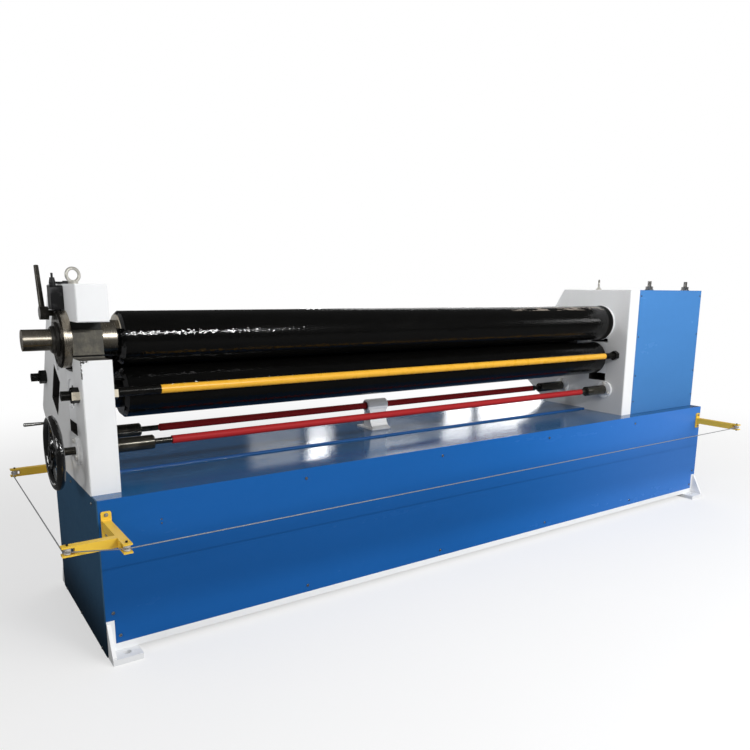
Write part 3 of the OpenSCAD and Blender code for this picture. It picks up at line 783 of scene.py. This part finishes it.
class BENDER_OT_frames(Maker):
    """Paint the end frames, their bearing blocks and the gear housing"""

    bl_idname = "bender.frames"
    bl_label = "Frames and gear housing"

    def make(self, paints, hardware, studio):
        coat(frame_paint("frame_grey", paints.white), "left_frame", "right_frame")
        coat(plate_paint("block_grey", paints.white), "lower_block_left", "lower_block_right",
             "rear_block_left", "rear_block_right")
        coat(ring_paint("ring_paint", paints.white), "bearing_ring")
        coat(plate_paint("flange_white", paints.flange), "wheel_flange", "left_flanges", "right_flanges",
             "centre_bearing")
        # Painted shade: the housing is black on its side towards the rolls where the frames' windows show it.
        coat(sheet_paint("housing_blue", paints.housing, inner=True), "gear_housing")
        coat(shop_steel("stud_steel", (0.34, 0.33, 0.31)), "gear_housing_studs")
        coat(plated("eye_bolt_zinc", (0.70, 0.68, 0.62), 0.3, metallic=0.7),
             "eye_bolt_left", "eye_bolt_right")


class BENDER_OT_rolls(Maker):
    """Varnish the three rolls and leave the drop end's neck bright"""

    bl_idname = "bender.rolls"
    bl_label = "Rolls"

    def make(self, paints, hardware, studio):
        coat(roll_varnish("upper_roll_varnish", paints.black, 0.36, bare_neck=True), "upper_roll")
        coat(roll_varnish("idle_roll_varnish", paints.black, 0.28), "lower_roll", "rear_roll")
        coat(oiled_iron("shaft_nut_iron"), "shaft_nuts")


class BENDER_OT_drop_end(Maker):
    """Finish the drop end's bearing block, cover, lock and lever"""

    bl_idname = "bender.drop_end"
    bl_label = "Drop end"

    def make(self, paints, hardware, studio):
        coat(milled_block("milled_block", (0.15, 0.145, 0.128)), "drop_end_block")
        # Painted shade on the cover's face towards the drop end and on its underside.
        coat(shop_steel("turned_cover", TURNED_STEEL, 0.24, (1.0, 0.15, 0.15), 500.0, face=0.18, under=0.4),
             "drop_end_cover")
        coat(oiled_iron("lock_iron", (0.030, 0.030, 0.031), 0.44), "lock_block", "lock_strap")
        coat(oiled_iron("lever_iron", DARK_IRON), "lock_handle")


class BENDER_OT_shafts(Maker):
    """Paint the tie rods, adjusting shafts and rope brackets, and finish the handwheel"""

    bl_idname = "bender.shafts"
    bl_label = "Shafts, rods and handwheel"

    def make(self, paints, hardware, studio):
        coat(banded_rod("tie_rod_yellow", paints.yellow, ROD_PAINT, (OUTER_NUT, INNER_NUT)), "front_tie_rod")
        coat(banded_rod("rear_tie_rod_yellow", paints.yellow, ROD_PAINT), "rear_tie_rod")
        for node, span in SHAFT_PAINT.items():
            coat(banded_rod(node + "_red", paints.red, span, dull=0.2, ends=DARK_IRON), node)
        coat(oiled_iron("coupling_iron", (0.062, 0.058, 0.047), 0.19), "front_couplings", "rear_couplings")
        coat(enamel("wheel_enamel", paints.black), "handwheel")
        coat(plated("grip_chrome"), "handwheel_grip")
        coat(plate_paint("bracket_yellow", paints.ochre), "rope_bracket_front_left",
             "rope_bracket_rear_left", "rope_bracket_front_right", "rope_bracket_rear_right")
        coat(roller_plastic("roller_plastic"), "rope_rollers")


class BENDER_OT_housing_sheets(Maker):
    """Hang the gear housing's front sheet"""

    bl_idname = "bender.housing_sheets"
    bl_label = "Housing sheets"

    def make(self, paints, hardware, studio):
        # Painted light: the sheet is lighter towards its top.
        blue = sheet_paint("housing_sheet_blue", paints.housing_sheet, up=(0.74, 1.09, 1.25))
        lowest, highest = low("gear_housing"), high("gear_housing")
        gap = 3 * MM
        sheet_box("housing_front_sheet", (lowest.x + gap, lowest.y - SHEET_THICK, lowest.z + gap),
                  (highest.x - gap, lowest.y + SHEET_THICK, highest.z - gap), blue, "root")


class BENDER_OT_cover_screws(Maker):
    """Set the covers' small screws, on the bed the same at the front and the back"""

    bl_idname = "bender.cover_screws"
    bl_label = "Cover screws"

    def make(self, paints, hardware, studio):
        radius = hardware.screw_d / 2
        places = [(28, 152), (46, 70), (3322, 152), (3304, 70)]
        places += [(x, z) for x in (741, 1398, 2062, 2732) for z in (71, 495)]
        seats = []
        for side, y in ((-1, BED_FRONT), (1, BED_BACK)):
            seats += [((from_left(x), y, z * MM), (0, side, 0), 1.0) for x, z in places]
            seats += [((from_left(200), y, z * MM), (0, side, 0), 0.5) for z in (425, 439)]
        for depth in (60, 367, 620):
            seats += [((BED_LEFT, from_front(depth), z * MM), (-1, 0, 0), 1.0) for z in (12, 511)]
        bright = fastener_tree("Cover screw", 14, plated("screw_zinc", (0.45, 0.46, 0.47), 0.3))
        fasteners("bed_screws", seats, bright, "root", "machined_steel", head_radius=radius,
                  head_height=1.6 * MM, dome_height=1.4 * MM, washer_radius=1.3 * radius,
                  washer_height=0.6 * MM)

        lowest, highest = low("gear_housing"), high("gear_housing")
        columns = (lowest.x + 14 * MM, highest.x - 14 * MM)
        seats = []
        for z in (600, 740, 949, 1163):
            seats += [((x, lowest.y - SHEET_THICK, z * MM), (0, -1, 0), 0.8) for x in columns]
            if z < 1000:
                seats += [((x, highest.y, z * MM), (0, 1, 0), 0.8) for x in columns]
        dark = fastener_tree("Housing screw", 14, oiled_iron("screw_black"))
        fasteners("housing_screws", seats, dark, "root", "dark_steel", head_radius=radius,
                  head_height=1.4 * MM, dome_height=1.2 * MM, washer_radius=1.2 * radius,
                  washer_height=0.5 * MM)


class BENDER_OT_flange_bolts(Maker):
    """Set three bolts in each flange of the adjusting shafts"""

    bl_idname = "bender.flange_bolts"
    bl_label = "Flange bolts"

    def make(self, paints, hardware, studio):
        shafts = [(middle(node).y, middle(node).z) for node in ("front_shaft", "rear_shaft")]
        faces = [(low("wheel_flange").x, -1, shafts[:1]), (high("left_flanges").x, 1, shafts),
                 (low("right_flanges").x, -1, shafts)]
        ring = 33 * MM
        turns = [math.radians(degrees) for degrees in (90, 210, 330)]
        seats = [((x, y + ring * math.cos(turn), z + ring * math.sin(turn)), (side, 0, 0), 1.0)
                 for x, side, centres in faces for y, z in centres for turn in turns]
        radius = hardware.flange_bolt_d / 2
        tree = fastener_tree("Flange bolt", 6, plated("bolt_zinc", (0.86, 0.85, 0.82), 0.3, metallic=0.35))
        fasteners("flange_bolts", seats, tree, "root", "machined_steel", head_radius=radius,
                  head_height=5 * MM, dome_height=1.2 * MM, washer_radius=1.25 * radius,
                  washer_height=1.2 * MM)


class BENDER_OT_fixing_bolts(Maker):
    """Bolt down the rope brackets and the middle bearing"""

    bl_idname = "bender.fixing_bolts"
    bl_label = "Bracket and bearing bolts"

    def make(self, paints, hardware, studio):
        plate = 5 * MM
        seats = []
        for x in BRACKETS_X:
            for side, y in ((-1, BED_FRONT - plate), (1, BED_BACK + plate)):
                seats += [((x, y, z * MM), (0, side, 0), 1.0) for z in (422, 486)]
        foot_x, foot_top = middle("centre_bearing").x, low("centre_bearing").z + 16 * MM
        seats += [((foot_x + side * 31 * MM, from_front(525), foot_top), (0, 0, 1), 1.2) for side in (-1, 1)]
        radius = hardware.fixing_bolt_d / 2
        tree = fastener_tree("Fixing bolt", 6, plated("fixing_zinc", (0.42, 0.42, 0.41), 0.3, metallic=0.6))
        fasteners("fixing_bolts", seats, tree, "root", "machined_steel", head_radius=radius,
                  head_height=3.5 * MM, dome_height=0.8 * MM, washer_radius=radius + 1 * MM,
                  washer_height=0.8 * MM)


class BENDER_OT_threads(Maker):
    """Cut the threads on the tie rods' ends"""

    bl_idname = "bender.threads"
    bl_label = "Tie-rod threads"

    def make(self, paints, hardware, studio):
        black = oiled_iron("thread_black", (0.022, 0.021, 0.019), 0.16)
        tree = thread_tree(black)
        spans = ((low("front_tie_rod").x, 27 * MM), (INNER_NUT[1], 141 * MM), (ROD_PAINT[1], 68 * MM))
        thread_r = 14.9 * MM
        for node in ("front_tie_rod", "rear_tie_rod"):
            centre = middle(node)
            whole = bmesh.new()
            for start, length in spans:
                values = {"Radius": thread_r, "Length": length, "Pitch": hardware.thread_pitch,
                          "Start": (start, centre.y, centre.z)}
                whole.from_mesh(grown_mesh(node + "_thread", bpy.data.meshes.new("empty"), tree, values))
            mesh = bpy.data.meshes.new(node + "_threads")
            whole.to_mesh(mesh)
            whole.free()
            piece_of(node + "_threads", mesh, black, "root")


class BENDER_OT_stop_rope(Maker):
    """Lay the stop rope round its rollers, in place of its straight runs"""

    bl_idname = "bender.stop_rope"
    bl_label = "Stop rope"

    def make(self, paints, hardware, studio):
        lowest, highest = low("rope_rollers"), high("rope_rollers")
        roller_r = 10 * MM
        z = middle("rope_rollers").z
        right_x, front_y = highest.x - roller_r, lowest.y + roller_r
        corner_x = -middle("rope_bracket_front_right").x
        side_x, side_y = lowest.x + roller_r, BED_FRONT - 170 * MM
        wrap = roller_r + hardware.rope_d / 2
        slant = math.degrees(math.atan2(side_y - front_y, corner_x - side_x))

        def arc(x, y, start, end):
            steps = max(2, int(abs(end - start) / 8))
            turns = [math.radians(start + (end - start) * i / steps) for i in range(steps + 1)]
            return [Vector((x + wrap * math.cos(t), y + wrap * math.sin(t), z)) for t in turns]

        tail = [Vector((right_x - along * MM, front_y + (12 - drop) * MM, z))
                for along, drop in ((92, 19.6), (72, 19.6), (52, 17), (32, 9), (14, 2.5))]
        half = tail + arc(right_x, front_y, 90, -90) + arc(corner_x, front_y, 270, 270 - slant)
        half += arc(side_x, side_y, 270 - slant, 180)
        other = [Vector((p.x, -p.y, p.z)) for p in reversed(half)]
        tree = rope_tree(strand_steel("rope_steel"))
        values = {"Radius": hardware.rope_d / 2, "Lay": hardware.rope_lay, "Strands": hardware.strands,
                  "Step": 2 * MM}
        mesh = grown_mesh("stop_rope_laid", path_mesh("rope_route", [half + other]), tree, values)
        for face in mesh.polygons:
            face.use_smooth = True
        rope = piece_of("stop_rope_laid", mesh, None, "root")
        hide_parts("stop_rope")


class BENDER_OT_welds(Maker):
    """Run the weld beads round the rope brackets' arms"""

    bl_idname = "bender.welds"
    bl_label = "Weld beads"

    def make(self, paints, hardware, studio):
        off = 5.5 * MM
        z = middle("rope_rollers").z
        half_w, half_h = 13.5 * MM, 15.5 * MM
        corners = [(-half_w, -half_h), (half_w, -half_h), (half_w, half_h), (-half_w, half_h)]
        corners.append(corners[0])
        routes = [[Vector((x + across, y, z + up)) for across, up in corners]
                  for y in (BED_FRONT - off, BED_BACK + off) for x in BRACKETS_X]
        tree = bead_tree(plate_paint("bead_yellow", paints.ochre))
        mesh = grown_mesh("bracket_welds", path_mesh("bead_route", routes), tree,
                          {"Width": hardware.weld_w, "Step": 2.2 * MM, "Seed": 5})
        piece_of("bracket_welds", mesh, None, "root")


class BENDER_OT_studio(Maker):
    """Set the floor, the lights and the camera"""

    bl_idname = "bender.studio"
    bl_label = "Studio"

    def make(self, paints, hardware, studio):
        scene = bpy.context.scene
        scene.view_settings.view_transform = "Standard"
        self.world(scene, studio)
        self.floor(studio)
        self.lamp("key_lamp", (3.1, -4.9, 2.5), (0.6, 0.0, 0.7), 3.0, 4.4, studio.key, mirrored=False)
        self.lamp("strip_lamp", (0.05, -3.75, 2.37), (0.05, -0.1, 1.0), 1.2, 0.06, studio.strip)
        self.lamp("drop_end_lamp", (-5.0, -1.6, 2.4), (-1.7, -0.1, 1.15), 1.2, 1.2, studio.drop_end, 40.0)
        self.lamp("drop_end_panel", (-1.12, -3.75, 2.35), (-1.55, -0.2, 1.05), 1.0, 1.2, studio.panel)
        self.lamp("frame_lamp", (-3.5, 1.5, 3.2), (1.0, 0.1, 1.35), 0.8, 0.8, studio.frame, 16.0)
        self.lamp("side_lamp", (5.6, -2.9, 2.3), (1.0, -0.1, 0.8), 1.5, 1.1, studio.side)
        self.lamp("skylight", (5.4, 5.3, 3.9), (0.0, 0.1, 1.0), 4.0, 3.2, studio.sky)
        panes = {"left_pane": (29.5, 13.5, 1.5, 1.0, 4.0), "left_glow": (29.9, 12.1, 1.9, 1.5, 0.8),
                 "left_blind": (26.0, 13.2, 4.0, 2.8, 0.24), "middle_blind": (36.3, 12.9, 4.0, 1.6, 0.2),
                 "middle_pane": (41.4, 9.6, 2.2, 4.6, 1.0), "right_pane": (45.6, 9.2, 5.0, 5.0, 1.0)}
        for name, (turn, rise, width, height, share) in panes.items():
            self.pane(name, turn, rise, width, height, share * studio.window)
        self.camera(scene)

    def pane(self, name, turn, rise, width, height, brightness):
        """A far window pane that the deck reflects into the camera. Its direction is measured from the
        camera's own mirror image under the deck, and it and its size are in degrees."""
        far = 9.0
        turn, rise = math.radians(turn), math.radians(rise)
        start = Vector((CAMERA_PLACE.x, CAMERA_PLACE.y, 2 * DECK_Z - CAMERA_PLACE.z))
        aim = Vector((math.sin(turn) * math.cos(rise), math.cos(turn) * math.cos(rise), math.sin(rise)))
        wide, tall = (far * math.radians(side) for side in (width, height))
        self.lamp(name, start + far * aim, start, wide, tall, brightness * math.pi * wide * tall)

    def world(self, scene, studio):
        """An even room. Reflections see it white behind the machine and darker above and in front."""
        world = bpy.data.worlds.new("Room")
        world.use_nodes = True
        scene.world = world
        nodes = Nodes(world.node_tree)
        background = world.node_tree.nodes["Background"]
        seen = nodes.add("ShaderNodeLightPath", out="Is Camera Ray")
        mirrored, clear = seen.beside("Is Glossy Ray"), seen.beside("Is Transmission Ray")
        _, depth, height = nodes.axes(nodes.add("ShaderNodeTexCoord", out="Generated"))
        backdrop = (1 - height.rise(0.05, 0.14)) * depth.rise(-0.1, 0.4)
        room = studio.ceiling + (1.0 - studio.ceiling) * backdrop
        even = studio.level * (1 + 0.9 * height.rise(0.1, 1.0))
        plain = even + (1.0 - even) * seen.either(clear)
        strength = plain * (1 - mirrored) + room * mirrored
        world.node_tree.links.new(strength.socket, background.inputs["Strength"])
        background.inputs["Color"].default_value = (1.0, 1.0, 1.0, 1.0)

    def floor(self, studio):
        """A plain pale floor that keeps the machine's shadow."""
        half = studio.floor / 2
        corners = [(-half, -half, 0), (half, -half, 0), (half, half, 0), (-half, half, 0)]
        mesh = bpy.data.meshes.new("floor")
        mesh.from_pydata(corners, [], [(0, 1, 2, 3)])
        mesh.materials.append(self.floor_paint())
        floor = bpy.data.objects.new("floor", mesh)
        bpy.context.scene.collection.objects.link(floor)

    def floor_paint(self):
        """Pale paint that fades into the white of the room, and gives little light back to the machine."""
        s = Surface("floor_paint")
        fine = s.noise(2.0, 3.0)
        bounced = s.add("ShaderNodeLightPath", out="Is Diffuse Ray")
        mirrored = bounced.beside("Is Glossy Ray")
        tone = (0.985 + 0.03 * fine) * (1 - 0.55 * bounced) * (1 - 0.91 * mirrored)
        s.finish(s.shade((0.94, 0.94, 0.94), tone), 0.6, specular=0.2)
        away = (s.x * s.x + s.y * s.y) ** 0.5
        fade = (0.5 + 0.5 * away.rise(2.0, 5.2)) * (1 - bounced) * (1 - mirrored)
        glow = s.add("ShaderNodeEmission", {"Color": (1.0, 1.0, 1.0, 1.0), "Strength": 1.0})
        paint = Wire(s, s.shader.outputs[0])
        blend = s.add("ShaderNodeMixShader", {0: fade, 1: paint, 2: glow})
        s.tree.links.new(blend.socket, s.tree.nodes["Material Output"].inputs["Surface"])
        return s.material

    def lamp(self, name, place, aim, length, width, power, spread=180.0, mirrored=True):
        """A soft rectangular lamp, its long side level, with its light held within spread degrees.
        It shows as a highlight in glossy surfaces only where it is mirrored."""
        light = bpy.data.lights.new(name, "AREA")
        light.shape = "RECTANGLE"
        light.size, light.size_y = length, width
        light.energy = power
        light.spread = math.radians(spread)
        lamp = bpy.data.objects.new(name, light)
        lamp.location = place
        lamp.rotation_euler = (Vector(aim) - Vector(place)).to_track_quat("-Z", "Y").to_euler()
        lamp.visible_camera = False
        lamp.visible_glossy = mirrored
        bpy.context.scene.collection.objects.link(lamp)

    def camera(self, scene):
        """The view from the drop end, a little above the rolls."""
        lens = bpy.data.cameras.new("camera")
        lens.sensor_width = 36.0
        lens.lens = 33.105
        lens.shift_x = -0.0089
        lens.shift_y = 0.0721
        camera = bpy.data.objects.new("camera", lens)
        yaw, pitch, roll = math.radians(-35.01), math.radians(90 - 11.435), 0.00887
        turn = Matrix.Rotation(yaw, 4, "Z") @ Matrix.Rotation(pitch, 4, "X") @ Matrix.Rotation(roll, 4, "Z")
        camera.matrix_world = Matrix.Translation(CAMERA_PLACE) @ turn
        scene.collection.objects.link(camera)
        scene.camera = camera


OPERATORS = (BENDER_OT_bed, BENDER_OT_frames, BENDER_OT_rolls, BENDER_OT_drop_end, BENDER_OT_shafts,
             BENDER_OT_housing_sheets, BENDER_OT_cover_screws, BENDER_OT_flange_bolts, BENDER_OT_fixing_bolts,
             BENDER_OT_threads, BENDER_OT_stop_rope, BENDER_OT_welds, BENDER_OT_studio)


class BENDER_PT_panel(bpy.types.Panel):
    """Lists the machine's pieces and settings"""

    bl_idname = "BENDER_PT_panel"
    bl_label = "Plate bender"
    bl_space_type = "VIEW_3D"
    bl_region_type = "UI"
    bl_category = "Plate bender"

    def draw(self, context):
        layout = self.layout
        for group in GROUPS:
            settings = getattr(context.scene, group)
            box = layout.box()
            for name in settings.__annotations__:
                box.prop(settings, name)
        for operator in OPERATORS:
            layout.operator(operator.bl_idname)


GROUPS = {"bender_paints": BenderPaints, "bender_hardware": BenderHardware, "bender_studio": BenderStudio}


def register():
    for group in GROUPS.values():
        bpy.utils.register_class(group)
    for operator in OPERATORS:
        bpy.utils.register_class(operator)
    bpy.utils.register_class(BENDER_PT_panel)
    for name, group in GROUPS.items():
        setattr(bpy.types.Scene, name, PointerProperty(type=group))


def unregister():
    for name in GROUPS:
        delattr(bpy.types.Scene, name)
    bpy.utils.unregister_class(BENDER_PT_panel)
    for operator in reversed(OPERATORS):
        bpy.utils.unregister_class(operator)
    for group in reversed(GROUPS.values()):
        bpy.utils.unregister_class(group)


def main():
    """Makes every piece in turn."""
    register()
    for operator in OPERATORS:
        family, action = operator.bl_idname.split(".")
        getattr(getattr(bpy.ops, family), action)()
    bpy.context.view_layer.update()


if __name__ == "__main__":
    main()
